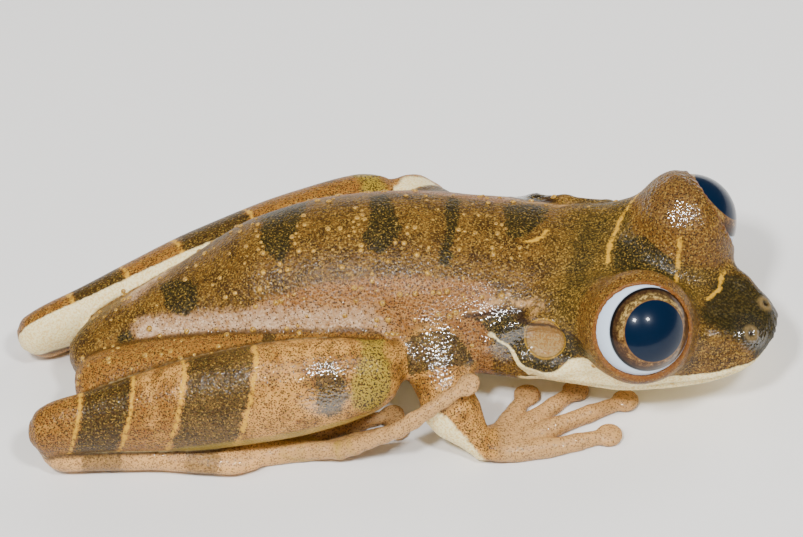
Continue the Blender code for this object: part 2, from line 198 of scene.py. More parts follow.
def tapered(points, a, b, thick_a, thick_b):
    """Distance from a rod with round ends."""
    a, b = np.array(a, float), np.array(b, float)
    share = np.clip(((points - a) @ (b - a)) / ((b - a) @ (b - a)), 0, 1)
    return distance(points, a + share[..., None] * (b - a)) - (thick_a + share * (thick_b - thick_a))


def put_rods(path, thick, blend):
    """Joins a run of rods through the path's points, each point with its own thickness."""
    for a, b, thick_a, thick_b in zip(path, path[1:], thick, thick[1:]):
        reach = max(thick_a, thick_b)
        low, high = np.minimum(a, b) - reach, np.maximum(a, b) + reach
        put(lambda p: tapered(p, a, b, thick_a, thick_b), low, high, blend, 0.6 + blend)


def smooth_column(rows, column, at):
    """The values of one column of rows at the places, by a cubic that doesn't overshoot."""
    s = np.array([row[0] for row in rows], float)
    v = np.array([row[column] for row in rows], float)
    slope = np.diff(v) / np.diff(s)
    both = slope[1:] * slope[:-1]
    tangent = np.concatenate([[slope[0]], np.where(both > 0, 2 * both / (slope[1:] + slope[:-1] + 1e-12), 0),
                              [slope[-1]]])
    at = np.asarray(at, float)
    i = np.clip(np.searchsorted(s, at) - 1, 0, len(s) - 2)
    width = s[i + 1] - s[i]
    t = np.clip((at - s[i]) / width, 0, 1)
    return ((1 + 2 * t) * (1 - t) ** 2 * v[i] + t * (1 - t) ** 2 * width * tangent[i]
            + t * t * (3 - 2 * t) * v[i + 1] + t * t * (t - 1) * width * tangent[i + 1])


# Trunk and head, the same loft along a bent spine as the solids: distance along it, half width, height of
# the back, height of the widest line, height of the belly.
LENGTH = 51.6
HUMP = 20.0
HEADINGS = ((0, 7), (10, 5), (20, -3), (29, -11), (36, -20), (41, -27), (LENGTH, -30))
TRUNK = (
    (0.0, 0.0, 3.9, 3.6, 3.3),
    (0.5, 1.4, 4.8, 3.4, 2.1),
    (2.0, 2.6, 5.8, 3.6, 1.4),
    (5.0, 3.5, 7.1, 4.0, 0.9),
    (10.0, 4.7, 9.3, 4.7, 0.4),
    (15.0, 6.0, 11.6, 5.2, 0.0),
    (20.0, 6.9, 12.2, 5.2, -0.14),
    (25.0, 7.1, 12.0, 5.3, 0.05),
    (29.0, 7.1, 11.2, 5.2, 0.8),
    (33.0, 7.4, 10.5, 4.8, 1.3),
    (37.0, 7.5, 10.1, 4.5, 1.9),
    (41.5, 7.0, 9.6, 4.3, 1.9),
    (45.0, 5.6, 8.6, 4.1, 2.1),
    (48.0, 4.3, 7.8, 4.2, 2.7),
    (50.0, 3.2, 7.2, 4.6, 3.5),
    (51.0, 2.1, 6.6, 4.9, 4.2),
    (LENGTH, 0.0, 5.7, 5.4, 5.1),
)
along = np.linspace(0, LENGTH, 1029)
turns = np.radians(smooth_column(HEADINGS, 1, along))
gap = along[1] - along[0]
spine = np.zeros((len(along), 2))
spine[1:, 0] = np.cumsum(np.cos((turns[1:] + turns[:-1]) / 2)) * gap
spine[1:, 1] = np.cumsum(np.sin((turns[1:] + turns[:-1]) / 2)) * gap
spine -= [np.interp(HUMP, along, spine[:, 0]), np.interp(HUMP, along, spine[:, 1])]
half_width, back, widest, belly = (smooth_column(TRUNK, column, along) for column in (1, 2, 3, 4))
squareness = 2.0 + 0.5 * np.clip((along - 39) / 6, 0, 1)


def spine_place(flat):
    """The nearest place on the spine for each point of a plan view, and how far to its left the point is."""
    index = np.zeros(len(flat), int)
    for first in range(0, len(flat), 8000):
        part = flat[first:first + 8000]
        apart = (part[:, None, 0] - spine[None, ::8, 0]) ** 2 + (part[:, None, 1] - spine[None, ::8, 1]) ** 2
        index[first:first + 8000] = np.argmin(apart, 1) * 8
    left = np.stack([-np.sin(turns[index]), np.cos(turns[index])], -1)
    on = np.stack([np.cos(turns[index]), np.sin(turns[index])], -1)
    step = ((flat - spine[index]) * on).sum(-1)
    at = along[index] + step
    return at, ((flat - spine[index]) * left).sum(-1)


def place(at, left, height):
    """A point given along the spine, out to the left of it and above the floor."""
    turn = math.radians(float(smooth_column(HEADINGS, 1, at)))
    x, y = np.interp(at, along, spine[:, 0]), np.interp(at, along, spine[:, 1])
    return np.array((x - math.sin(turn) * left, y + math.cos(turn) * left, height))


def places(side, *rows):
    """Points on one side of the animal, each by its way along the spine, out from it and above the floor."""
    return [place(at, side * out, height) for at, out, height in rows]


def trunk_ratio(at, left, height):
    """1 on the trunk's or head's surface, less inside."""
    at_index = np.clip(at, 0, LENGTH)
    wide = np.maximum(np.interp(at_index, along, half_width), 0.05)
    top, middle, low = (np.interp(at_index, along, column) for column in (back, widest, belly))
    power = np.interp(at_index, along, squareness)
    rise = height - middle
    rise = np.where(rise > 0, rise / np.maximum(top - middle, 0.05), -rise / np.maximum(middle - low, 0.05))
    across = (np.abs(left / wide) ** power + rise ** power) ** (1 / power)
    return np.maximum(across, 1 + np.maximum(at - LENGTH, -at))


plan = np.stack(np.meshgrid(GRID[0], GRID[1], indexing="ij"), -1)
at3, left3 = (value.reshape(*plan.shape[:2], 1) for value in spine_place(plan.reshape(-1, 2)))
height3 = GRID[2][None, None, :]
trunk = evened(trunk_ratio(at3, left3, height3))


# Mouth. The lips meet along the widest line of the head, and the lower jaw is set in behind the upper
# lip.
MOUTH_CORNER = 34.6
LIP_LINE_DEEP, LIP_LINE_HALF = 0.34, 0.13
LIP_LINE_DROP, JAW_SET_IN = 0.15, 0.16
LIP_SWELL, LIP_SWELL_UP, LIP_SWELL_HALF = 0.10, 0.42, 0.26
over_line = height3 - (np.interp(at3, along, widest) - LIP_LINE_DROP)
in_mouth = np.clip((at3 - MOUTH_CORNER) / 1.2, 0, 1)
trunk = trunk + in_mouth * (
    LIP_LINE_DEEP * np.exp(-((over_line / LIP_LINE_HALF) ** 2) / 2)
    + JAW_SET_IN / (1 + np.exp(over_line / 0.09)) * np.clip((height3 - 2.6) / 1.2, 0, 1)
    - LIP_SWELL * np.exp(-(((over_line - LIP_SWELL_UP) / LIP_SWELL_HALF) ** 2) / 2)
)
beside = np.abs(left3) - np.interp(at3, along, half_width) - 0.3
trunk = np.maximum(trunk, np.maximum.reduce([beside, at3 - LENGTH, -at3]))
field = trunk.copy()


# Eyes' places and lids. Each eyeball stands half out of the head under a dome of skin, which is open
# towards the side, ahead and up, and ends in a thin rounded lid.
EYE_AT, EYE_OUT, EYE_UP = 43.6, 5.1, 9.25
EYE_RADIUS = 3.4
LID_RADIUS, LID_THINNED, LID_EDGE_ANGLE = 3.85, 0.3, 11.0
LID_TURNS = {"right": (58.0, 33.0), "left": (46.0, 15.0)}
LID_ANGLES = {"right": 70.0, "left": 60.0}
SIDES = (("right", -1), ("left", 1))
head_turn = float(np.interp(EYE_AT, along, turns))
head_ahead = np.array((math.cos(head_turn), math.sin(head_turn), 0))
head_left = np.array((-math.sin(head_turn), math.cos(head_turn), 0))


def head_way(side, yaw, pitch):
    """A direction from the head, turned from straight ahead out to one side and then up."""
    yaw, pitch = math.radians(yaw), math.radians(pitch)
    flat = head_ahead * math.cos(yaw) + head_left * side * math.sin(yaw)
    return flat * math.cos(pitch) + np.array((0, 0, math.sin(pitch)))


def opening(points, eye, way, angle):
    """Distance into the cone that the lids leave open."""
    return distance(points, eye) * np.sin(np.radians(angle_from(points, eye, way) - angle))


def lid(points, eye, way, angle):
    """Distance to the lids' ball, which gets thin at its opening."""
    edge = (angle_from(points, eye, way) - angle) / LID_EDGE_ANGLE
    return distance(points, eye) - LID_RADIUS + LID_THINNED * np.exp(-(edge ** 2))


EYES = {name: place(EYE_AT, side * EYE_OUT, EYE_UP) for name, side in SIDES}
LID_WAYS = {name: head_way(side, *LID_TURNS[name]) for name, side in SIDES}
for name, side in SIDES:
    eye = EYES[name]
    put(lambda p: lid(p, eye, LID_WAYS[name], LID_ANGLES[name]), eye - LID_RADIUS, eye + LID_RADIUS, 1.9, 2.2)
    put_rods([eye + (0, 0, -0.6), *places(side, (EYE_AT + 0.2, 2.6, 8.3))], [2.6, 1.6], 1.6)
    temple = places(side, (40.2, 4.0, 8.1), (36.8, 3.9, 7.6))
    put_rods([eye + (0, 0, -0.9), *temple], [2.8, 2.1, 1.7], 1.4)


# Snout. A blunt ridge runs from each eye to its nostril, which is a small raised ring round a pit, and
# the eardrum behind the eye is a thin disc in a low rim under a fold of skin that runs down to the
# shoulder.
NOSE_AT, NOSE_OUT, NOSE_UP = 50.3, 1.4, 6.75
EAR_AT, EAR_OUT, EAR_UP = 36.35, 6.35, 7.5
EAR_RADIUS, EAR_REACH = 1.5, 1.6
EAR_DISH, EAR_DISH_EDGE, EAR_RIM, EAR_RIM_HALF = 0.16, 0.08, 0.13, 0.16
RIM_RADIUS, RIM_THICK, PIT_RADIUS = 0.36, 0.24, 0.2
NOSTRILS = {name: place(NOSE_AT, side * NOSE_OUT, NOSE_UP) for name, side in SIDES}
NOSE_WAYS = {name: head_way(side, 31, 55) for name, side in SIDES}
EARS = {name: place(EAR_AT, side * EAR_OUT, EAR_UP) for name, side in SIDES}
EAR_WAYS = {name: head_way(side, 91, 33) for name, side in SIDES}


def round_rim(points, centre, way, radius, thick):
    """Distance to a round wire bent into a ring."""
    axial, radial = polar(points, centre, way)
    return np.hypot(radial - radius, axial) - thick


for name, side in SIDES:
    put_rods(places(side, (46.0, 3.5, 7.3), (48.2, 2.5, 7.0), (49.7, 1.6, 6.6)), [0.7, 0.55, 0.5], 0.9)
    nostril, nose_way = NOSTRILS[name], NOSE_WAYS[name]
    put(lambda p: round_rim(p, nostril, nose_way, RIM_RADIUS, RIM_THICK), nostril - 0.7, nostril + 0.7, 0.2)
    pit = nostril + PIT_RADIUS * nose_way
    carve(lambda p: distance(p, pit) - PIT_RADIUS, pit - 0.3, pit + 0.3, 0.1)

    cut, points = window(EARS[name] - 2.6, EARS[name] + 2.6)
    axial, radial = polar(points, EARS[name], EAR_WAYS[name])
    dish = EAR_DISH / (1 + np.exp((radial - EAR_RADIUS + 0.22) / EAR_DISH_EDGE))
    rim = EAR_RIM * np.exp(-(((radial - EAR_RADIUS) / EAR_RIM_HALF) ** 2))
    field[cut] += np.exp(-((axial / EAR_REACH) ** 2)) * (dish - rim)
    fold = places(side, (40.0, 5.3, 8.3), (37.9, 5.7, 8.5), (35.2, 5.7, 8.4), (33.2, 6.1, 7.8),
                  (31.4, 6.7, 6.6), (30.2, 6.9, 5.6))
    put_rods(fold, [0.3, 0.40, 0.48, 0.5, 0.5, 0.4], 0.5)
    put_rods(places(side, (40.0, 6.6, 5.9), (37.0, 7.3, 5.6), (34.6, 7.25, 5.9)), [0.45, 0.6, 0.5], 0.7)


# Limbs, from joint to joint, with the same thickness along them as the solids. The folded thigh and shank
# lie against each other and against the flank, so the creases between them stay sharp.
HIP = {"right": (-17.9, -4.4, 4.0), "left": (-16.8, 0.9, 3.1)}
KNEE = {"right": (1.9, -6.8, 6.2), "left": (3.2, 7.2, 5.0)}
SHIN_TOP = {"right": (1.6, -9.1, 6.3), "left": (2.9, 8.7, 5.1)}
HEEL = {"right": (-21.4, -7.7, 3.8), "left": (-22.0, 2.5, 2.9)}
HOCK = {"right": (-20.9, -7.8, 1.3), "left": (-21.8, 3.2, 1.3)}
SOLE = {"right": (-9.6, -9.6, 0.85), "left": (-9.6, 7.6, 0.85)}
SHOULDER = {"right": (6.1, -5.2, 6.6), "left": (8.2, 3.4, 6.2)}
ELBOW = {"right": (6.3, -10.2, 3.6), "left": (5.8, 9.0, 4.6)}
WRIST = {"right": (8.3, -12.4, 1.1), "left": (9.2, 9.6, 1.1)}
THIGH = (
    (-0.07, 1.2, 1.3), (-0.02, 2.0, 2.1), (0.10, 2.5, 2.5), (0.28, 2.7, 2.7), (0.48, 2.7, 2.65),
    (0.68, 2.5, 2.4), (0.85, 2.25, 2.2), (0.96, 2.0, 2.05), (1.03, 1.5, 1.5), (1.065, 0.8, 0.8),
)
SHANK = (
    (-0.075, 0.9, 0.8), (-0.045, 1.9, 1.6), (0.02, 2.7, 2.2), (0.14, 3.3, 2.5), (0.30, 3.6, 2.7),
    (0.50, 3.5, 2.6), (0.70, 2.9, 2.2), (0.86, 2.3, 1.8), (0.97, 2.0, 1.6), (1.03, 1.5, 1.3),
    (1.055, 0.7, 0.6),
)
TARSUS = (
    (-0.10, 0.6, 0.6), (-0.06, 1.2, 1.1), (0.0, 1.55, 1.25), (0.25, 1.45, 1.2), (0.55, 1.4, 1.1),
    (0.85, 1.75, 0.95), (1.05, 1.9, 0.85), (1.2, 1.4, 0.7), (1.28, 0.7, 0.4),
)
UPPER_ARM = (
    (-0.30, 1.0, 1.0), (-0.15, 1.9, 1.9), (0.10, 2.6, 2.35), (0.45, 2.45, 2.2), (0.80, 2.0, 1.9),
    (1.0, 1.6, 1.6), (1.12, 0.9, 0.9),
)
FOREARM = (
    (-0.30, 0.8, 0.8), (-0.18, 1.5, 1.4), (0.05, 1.95, 1.75), (0.32, 1.9, 1.7), (0.60, 1.5, 1.4),
    (0.85, 1.1, 1.05), (0.96, 0.95, 0.9), (1.0, 0.6, 0.6),
)
PALM = (
    (-0.32, 0.6, 0.5), (-0.18, 1.0, 0.9), (0.15, 1.25, 0.95), (0.60, 1.6, 0.85), (0.95, 1.5, 0.75),
    (1.15, 0.9, 0.5),
)


def limb_shapes(name, side):
    """Each limb's ends, its profile and the way that the first of its half widths points."""
    return {
        "thigh": (HIP[name], KNEE[name], THIGH, (0, 0, 1)),
        "shank": (SHIN_TOP[name], HEEL[name], SHANK, (0, -0.35 * side, 1)),
        "foot": (HOCK[name], SOLE[name], TARSUS, (0, 1, 0)),
        "arm": (SHOULDER[name], ELBOW[name], UPPER_ARM, (1, 0, 0)),
        "forearm": (ELBOW[name], WRIST[name], FOREARM, (1, 0, 0)),
    }


def limb_ratio(points, start, end, profile, side_way):
    """1 on a limb's surface, less inside, and the share of the way along it."""
    start, end, side_way = (np.array(v, float) for v in (start, end, side_way))
    length = np.linalg.norm(end - start)
    on = (end - start) / length
    u = side_way - on * (side_way @ on)
    u /= np.linalg.norm(u)
    v = np.cross(on, u)
    offset = points - start
    share = offset @ on / length
    wide = smooth_column(profile, 1, share)
    deep = smooth_column(profile, 2, share)
    ratio = np.sqrt((offset @ u / wide) ** 2 + (offset @ v / deep) ** 2)
    past = np.maximum(share - profile[-1][0], profile[0][0] - share) * length
    return np.maximum(ratio, 1 + past), share


def put_limb(start, end, profile, side_way, blend):
    thick = max(row[1] for row in profile)
    low, high = np.minimum(start, end) - thick - 1, np.maximum(start, end) + thick + 1
    put(lambda p: evened(limb_ratio(p, start, end, profile, side_way)[0]), low, high, blend)


for name, side in SIDES:
    shapes = limb_shapes(name, side)
    put_limb(*shapes["thigh"], 0.5)
    put_limb(*shapes["shank"], 0.1)
    knee = (np.array(KNEE[name]) + SHIN_TOP[name]) / 2 + (0.7, 0, 0)
    put(lambda p: distance(p, knee) - 1.75, knee - 1.75, knee + 1.75, 0.7, 1.6)
    put_limb(*shapes["foot"], 0.3)
    heel = [np.array(HEEL[name]) + (-0.5, 0, -0.4), np.array(HOCK[name]) + (-0.6, 0, 0.3)]
    put_rods(heel, [1.1, 0.95], 0.8)
    put_limb(*shapes["arm"], 1.1)
    put_limb(*shapes["forearm"], 0.6)


# Toes and fingers, each a tapered run of bones with a small knob under every joint and a flat disc at its
# tip, with webs between them.
TOES = {
    "right": (
        ((-7.8, -8.4, 0.55), (-4.9, -7.2, 0.36)),
        ((-7.1, -8.9, 0.55), (-2.1, -7.4, 0.36)),
        ((-6.6, -9.3, 0.55), (-1.8, -8.6, 0.45), (1.8, -8.0, 0.36)),
        ((-6.6, -9.8, 0.7), (-1.4, -11.0, 1.0), (2.8, -12.3, 3.8), (7.4, -11.2, 5.85)),
        ((-7.2, -10.2, 0.55), (-2.6, -10.3, 0.5), (2.0, -9.4, 0.36)),
    ),
    "left": (
        ((-7.6, 6.7, 0.55), (-4.8, 6.0, 0.36)),
        ((-6.9, 7.3, 0.55), (-1.7, 6.6, 0.36)),
        ((-6.3, 7.9, 0.55), (-1.4, 8.3, 0.45), (2.4, 8.2, 0.36)),
        ((-6.3, 8.4, 0.6), (-1.1, 9.6, 0.5), (5.2, 10.9, 0.36)),
        ((-7.1, 9.0, 0.55), (-3.1, 10.6, 0.5), (0.4, 11.9, 0.36)),
    ),
}
FINGERS = {
    "right": (
        ((9.9, -11.1, 0.6), (11.7, -8.4, 0.4)),
        ((10.4, -11.6, 0.6), (15.0, -8.4, 0.4)),
        ((10.6, -12.3, 0.6), (14.6, -10.9, 0.5), (18.2, -9.8, 0.4)),
        ((10.4, -13.0, 0.6), (13.6, -13.0, 0.5), (16.6, -12.6, 0.4)),
    ),
    "left": (
        ((10.8, 8.5, 0.6), (12.6, 5.4, 0.4)),
        ((11.4, 9.0, 0.6), (15.8, 5.4, 0.4)),
        ((11.7, 9.6, 0.6), (15.3, 8.0, 0.5), (18.6, 6.6, 0.4)),
        ((11.5, 10.3, 0.6), (14.0, 10.1, 0.5), (16.6, 9.6, 0.4)),
    ),
}
TOE_THICK, TOE_DISC = 0.62, 0.92
FINGER_THICK, FINGER_DISC = 0.66, 1.0
TOE_WEB, FINGER_WEB = 0.62, 0.22
WEB_HALF, WEB_RODS = 0.2, 40
DIGIT_JOINTS, JOINT_HALF = ((0.38, 0.16), (0.74, 0.14)), 0.06
DIGIT_TAPER, DISC_HIGH = 0.36, 0.46


def walk(points, share):
    """The point a share of the way along a run of points."""
    points = np.array(points, float)
    spans = np.linalg.norm(np.diff(points, axis=0), axis=1)
    far = np.concatenate([[0], np.cumsum(spans)])
    return np.array([np.interp(share * far[-1], far, points[:, k]) for k in range(3)])


def put_digit(points, thick, disc):
    shares = np.linspace(0, 1, 13)
    swell = 1 + sum(more * np.exp(-(((shares - at) / JOINT_HALF) ** 2)) for at, more in DIGIT_JOINTS)
    girths = thick * (1.08 - DIGIT_TAPER * shares) * swell
    put_rods([walk(points, share) for share in shares], list(girths), 0.25)
    tip = np.array(points[-1], float)
    on = tip - np.array(points[-2])
    on /= np.linalg.norm(on)
    centre = tip + on * disc * 0.72
    across = np.cross((0, 0, 1), on)
    across /= np.linalg.norm(across)
    up = np.cross(on, across)

    def pad(p):
        offset = p - centre
        shares = offset @ on / 0.98, offset @ across, offset @ up / DISC_HIGH
        return evened(np.sqrt(sum(share ** 2 for share in shares)) / disc)

    put(pad, centre - disc, centre + disc, 0.25)


def put_web(first, second, reach):
    """A thin sheet of skin from digit to digit, with a hollow free edge."""
    for k in range(WEB_RODS):
        out, mid = (0.04 + (reach * full - 0.04) * k / (WEB_RODS - 1) for full in (1, 0.58))
        middle = (walk(first, mid) + walk(second, mid)) / 2
        put_rods([walk(first, out), middle, walk(second, out)], [WEB_HALF] * 3, 0.18)


for name, side in SIDES:
    knuckles = sum(np.array(finger[0]) for finger in FINGERS[name]) / 4
    put_limb(WRIST[name], knuckles, PALM, (0, 1, 0), 0.5)
    for k, toe in enumerate(TOES[name]):
        put_digit(toe, TOE_THICK, TOE_DISC * (1 if k else 0.8))
    for finger in FINGERS[name]:
        put_digit(finger, FINGER_THICK, FINGER_DISC)
    for k in range(4):
        if name == "left" or k != 2:
            put_web(TOES[name][k], TOES[name][k + 1], TOE_WEB)
    for k in range(3):
        put_web(FINGERS[name][k], FINGERS[name][k + 1], FINGER_WEB)


# Hollow for each eyeball, its opening and the bead of skin that edges its lids. The skin touches the
# eyeball all round, as wet lids do.
BEAD_THICK, BEAD_AT = 0.12, EYE_RADIUS + 0.05
LID_EDGE_BLEND = 0.3
HOLLOW_RADIUS = EYE_RADIUS - 0.1
CONE_FAR = LID_RADIUS + 0.9
for name, eye in EYES.items():
    way, open_angle = LID_WAYS[name], LID_ANGLES[name]
    cut, points = window(eye - CONE_FAR - 0.3, eye + CONE_FAR + 0.3)
    off_eye = distance(points, eye)
    cone = np.maximum(opening(points, eye, way, open_angle), off_eye - CONE_FAR)
    field[cut] = -soft_min(-field[cut], cone, LID_EDGE_BLEND)
    bead_angle = math.radians(open_angle + 1)
    centre = eye + way * BEAD_AT * math.cos(bead_angle)
    bead = round_rim(points, centre, way, BEAD_AT * math.sin(bead_angle), BEAD_THICK)
    field[cut] = soft_min(field[cut], bead, LID_EDGE_BLEND)
    field[cut] = np.maximum(field[cut], HOLLOW_RADIUS - off_eye)
field[:] = np.maximum(field, 0.01 - height3)


# Mesh of the skin: one vertex in each cell of the grid that the surface crosses, drawn onto the surface.
CORNERS = [(i, j, k) for i in (0, 1) for j in (0, 1) for k in (0, 1)]


def sample(values, points):
    """The grid's values at points between its nodes."""
    cell = (points - LOW) / STEP
    base = np.clip(cell.astype(int), 0, np.array(values.shape) - 2)
    share = cell - base
    total = np.zeros(len(points))
    for corner in CORNERS:
        weight = np.prod(np.where(corner, share, 1 - share), axis=1)
        total += weight * values[tuple((base + corner).T)]
    return total


inside = field < 0
size = np.array(field.shape) - 1
full = sum(inside[i:size[0] + i, j:size[1] + j, k:size[2] + k].astype(np.int8) for i, j, k in CORNERS)
live = (full > 0) & (full < 8)
cells = np.argwhere(live)
index = np.full(live.shape, -1)
index[live] = np.arange(len(cells))
middle = np.zeros((len(cells), 3))
hits = np.zeros(len(cells))
for corner in CORNERS:
    for axis in range(3):
        if corner[axis]:
            continue
        other = list(corner)
        other[axis] = 1
        a, b = field[tuple((cells + corner).T)], field[tuple((cells + other).T)]
        crossed = (a < 0) != (b < 0)
        where = np.array(corner, float) * np.ones((int(crossed.sum()), 1))
        where[:, axis] = (a / np.where(crossed, a - b, 1))[crossed]
        middle[crossed] += where
        hits += crossed
points = LOW + STEP * (cells + middle / hits[:, None])
slopes = np.gradient(field, STEP)
for _ in range(2):
    slope = np.stack([sample(s, points) for s in slopes], -1)
    shift = sample(field, points)[:, None] * slope / np.maximum((slope ** 2).sum(-1), 0.2)[:, None]
    points -= np.clip(shift, -STEP / 3, STEP / 3)

quads = []
for axis in range(3):
    u, v = (axis + 1) % 3, (axis + 2) % 3
    step_u, step_v = np.eye(3, dtype=int)[u], np.eye(3, dtype=int)[v]
    low = [slice(1, size[k]) for k in range(3)]
    low[axis] = slice(0, size[axis])
    high = list(low)
    high[axis] = slice(1, size[axis] + 1)
    here, there = inside[tuple(low)], inside[tuple(high)]
    starts = np.argwhere(here != there) + [part.start for part in low]
    steps = (0 * step_u, step_u, step_u + step_v, step_v)
    four = np.stack([index[tuple((starts - step).T)] for step in steps], -1)
    outward = inside[tuple(starts.T)]
    quads.append(np.where(outward[:, None], four, four[:, ::-1]))
quads = np.concatenate(quads)

# Only the largest closed shell is kept; each vertex takes the lowest number that its faces reach.
shell = np.arange(len(points))
joined = False
while not joined:
    lowest = shell[quads].min(1)
    wider = shell.copy()
    for corner in range(4):
        np.minimum.at(wider, quads[:, corner], lowest)
    wider = wider[wider]
    joined = bool((wider == shell).all())
    shell = wider
kept = shell == np.bincount(shell).argmax()
quads = quads[kept[quads[:, 0]]]
points = points[kept]
quads = (np.cumsum(kept) - 1)[quads]

skin_mesh = bpy.data.meshes.new("skin")
skin_mesh.from_pydata((points * MM).tolist(), [], quads.tolist())
skin_mesh.shade_smooth()
skin = new_object("skin", skin_mesh)


# Markings of the skin. Every point of it knows how far it lies inside a dark patch or from a yellow line,
# and how much it has of each ground colour, so that the grain of the material can break up their edges.
# Shade and highlights are painted too: dark in the creases, under the fold, in the lips' groove and the
# nostrils' pits, pale along the fold's crest and on the rims of eardrums and nostrils.
DARK_PATCHES = {
    "hips": ((14.9, -0.1), (15.3, 1.8), (15.2, 4.2), (18.6, 4.4), (18.3, 2.0), (17.8, 0.6), (17.1, -1.2),
        (16.4, -2.2), (15.4, -1.3)),
    "hump": ((22.8, 0.1), (22.8, 1.6), (22.6, 3.6), (23.9, 4.2), (24.5, 1.3), (25.1, -0.7), (24.5, -1.6),
        (23.8, -2.7), (22.8, -2.3), (22.1, -1.4)),
    "shoulders": ((28.0, 0.7), (27.8, 2.7), (28.0, 4.2), (28.8, 4.0), (28.9, 0.4), (28.7, -1.7),
        (28.6, -3.5), (27.6, -3.3), (27.7, -2.0), (28.1, -0.9)),
    "nape": ((31.5, 3.8), (31.8, 2.6), (32.3, 0.2), (32.8, -0.4), (33.8, 0.5), (34.6, 2.4), (34.4, 4.6),
        (33.2, 4.9)),
    "brow": ((39.6, 1.3), (39.8, 2.9), (40.6, 3.8), (42.6, 3.8), (43.8, 2.2), (44.3, 0.2), (44.4, -1.0),
        (42.5, -1.5), (40.2, -1.2)),
    "flank": ((7.5, 1.3), (8.9, 0.7), (10.1, -0.7), (9.9, -2.4), (8.7, -2.7), (7.5, -1.3)),
    "far flank": ((7.9, 4.6), (9.2, 3.8), (10.6, 4.6), (10.4, 6.2), (8.6, 6.4)),
    "vent": ((3.6, -1.4), (4.6, -1.3), (5.0, -2.2), (4.4, -2.9), (3.7, -2.4)),
}
YELLOW_LINES = (
    ((40.6, 5.2), (40.0, 4.2), (39.5, 2.9), (39.3, 1.5), (39.5, 0.1), (39.7, -0.7)),
    ((43.5, 4.0), (44.1, 2.9), (44.1, 1.7), (44.4, 0.6), (44.6, -0.6)),
    ((47.1, 2.2), (47.3, 1.0), (47.1, 0.1), (46.9, -0.5)),
    ((34.9, 1.4), (34.8, 0.6), (34.3, 0.0), (33.6, -0.4)),
)
# The line under the fold over the eardrum, where its shadow is painted, and the line along the fold's crest,
# where its highlight is painted.
FOLD_SHADOW_LINE = ((29.6, 8.6), (30.9, 8.6), (33.1, 8.8), (35.2, 8.6), (38.0, 8.5), (39.7, 8.3))
HIGHLIGHT_CREST_LINE = ((29.2, 8.6), (30.9, 8.8), (31.7, 9.1), (33.0, 9.3), (33.9, 9.0), (34.8, 9.1), (35.8, 9.2))
WART_ROWS = (
    ((15.0, 3.2), (14.8, 0.9), (14.8, -0.9), (15.2, -1.8)),
    ((18.6, 2.6), (18.2, 1.3), (17.7, 0.0), (17.4, -1.3)),
    ((22.5, 2.0), (22.1, 0.6), (21.9, -0.7), (22.0, -1.8)),
    ((25.7, -0.4), (25.1, -1.5), (24.4, -2.3)),
    ((29.2, 2.4), (29.2, 0.3), (29.1, -1.8)),
    ((31.6, 2.4), (32.0, 0.9)),
)
SHANK_BARS = ((0.41, 0.61), (0.78, 0.92))
LIMB_BARS = (
    ("thigh", 0.62, 0.68, 20.0), ("foot", 0.1, 0.4, 8.0), ("foot", 0.75, 1.0, 8.0), ("arm", 0.18, 0.66, 8.0),
)
FAR_OFF = 9.0
BORDER = 0.22


def cover(value, low, high):
    """0 below one value, 1 above the other and smooth between."""
    t = np.clip((value - low) / (high - low), 0, 1)
    return t * t * (3 - 2 * t)


def least(where, old, new):
    """The lesser of two values on a part of the skin, and the old one elsewhere."""
    return np.where(where, np.minimum(old, new), old)


def most(where, old, new):
    """The greater of two values on a part of the skin, and the old one elsewhere."""
    return np.where(where, np.maximum(old, new), old)


def from_line(s, a, line):
    """Distance from a line on the back, given along the spine and round the body."""
    near = np.full(len(s), 99.0)
    for (s0, a0), (s1, a1) in zip(line, line[1:]):
        span = (s1 - s0) ** 2 + (a1 - a0) ** 2
        share = np.clip(((s - s0) * (s1 - s0) + (a - a0) * (a1 - a0)) / span, 0, 1)
        near = np.minimum(near, np.hypot(s - s0 - share * (s1 - s0), a - a0 - share * (a1 - a0)))
    return near


def into_patch(s, a, outline):
    """Distance into a closed outline on the back, less than 0 outside it."""
    odd = np.zeros(len(s), bool)
    for (s0, a0), (s1, a1) in zip(outline, outline[1:] + outline[:1]):
        if a0 != a1:
            odd ^= ((a0 > a) != (a1 > a)) & (s < s0 + (a - a0) * (s1 - s0) / (a1 - a0))
    near = from_line(s, a, outline + outline[:1])
    return np.where(odd, near, -near)


at, left = spine_place(points[:, :2])
height = points[:, 2]
wide, top, middle = (np.interp(at, along, column) for column in (half_width, back, widest))
girth = (wide + top - middle) / 2
around = girth * (np.pi / 2 - np.arctan2(height - middle, np.abs(left))) * np.sign(left)

far = {"body": sample(trunk, points)}
shares = {}
for name, side in SIDES:
    eye = EYES[name]
    far["body"] = np.minimum(far["body"], distance(points, eye) - LID_RADIUS)
    for limb, shape in limb_shapes(name, side).items():
        ratio, share = limb_ratio(points, *shape)
        far[limb + name] = (ratio - 1) * smooth_column(shape[2], 2, share)
        shares[limb + name] = share
    for limb, digits in (("toes", TOES), ("fingers", FINGERS)):
        near = [tapered(points, a, b, 0.5, 0.5) for digit in digits[name] for a, b in zip(digit, digit[1:])]
        far[limb + name] = np.min(near, 0)
nearest = np.min(list(far.values()), 0)
part = {region: np.exp(-(value - nearest) / BORDER) for region, value in far.items()}
total = sum(part.values())
part = {region: value / total for region, value in part.items()}
body = part["body"]

dark, moss, freckled = np.full((3, len(points)), -FAR_OFF)
line, rows, rim, drum, nose = np.full((5, len(points)), FAR_OFF)
lime, inner_side, browned, crease, brow, drum_top, wet = np.zeros((7, len(points)))
on_body = body > 0.5
for outline in DARK_PATCHES.values():
    dark = most(on_body, dark, into_patch(at, around, outline))
for row in YELLOW_LINES:
    line = least(on_body, line, from_line(at, around, row))
for row in WART_ROWS:
    rows = least(on_body, rows, from_line(at, around, row))

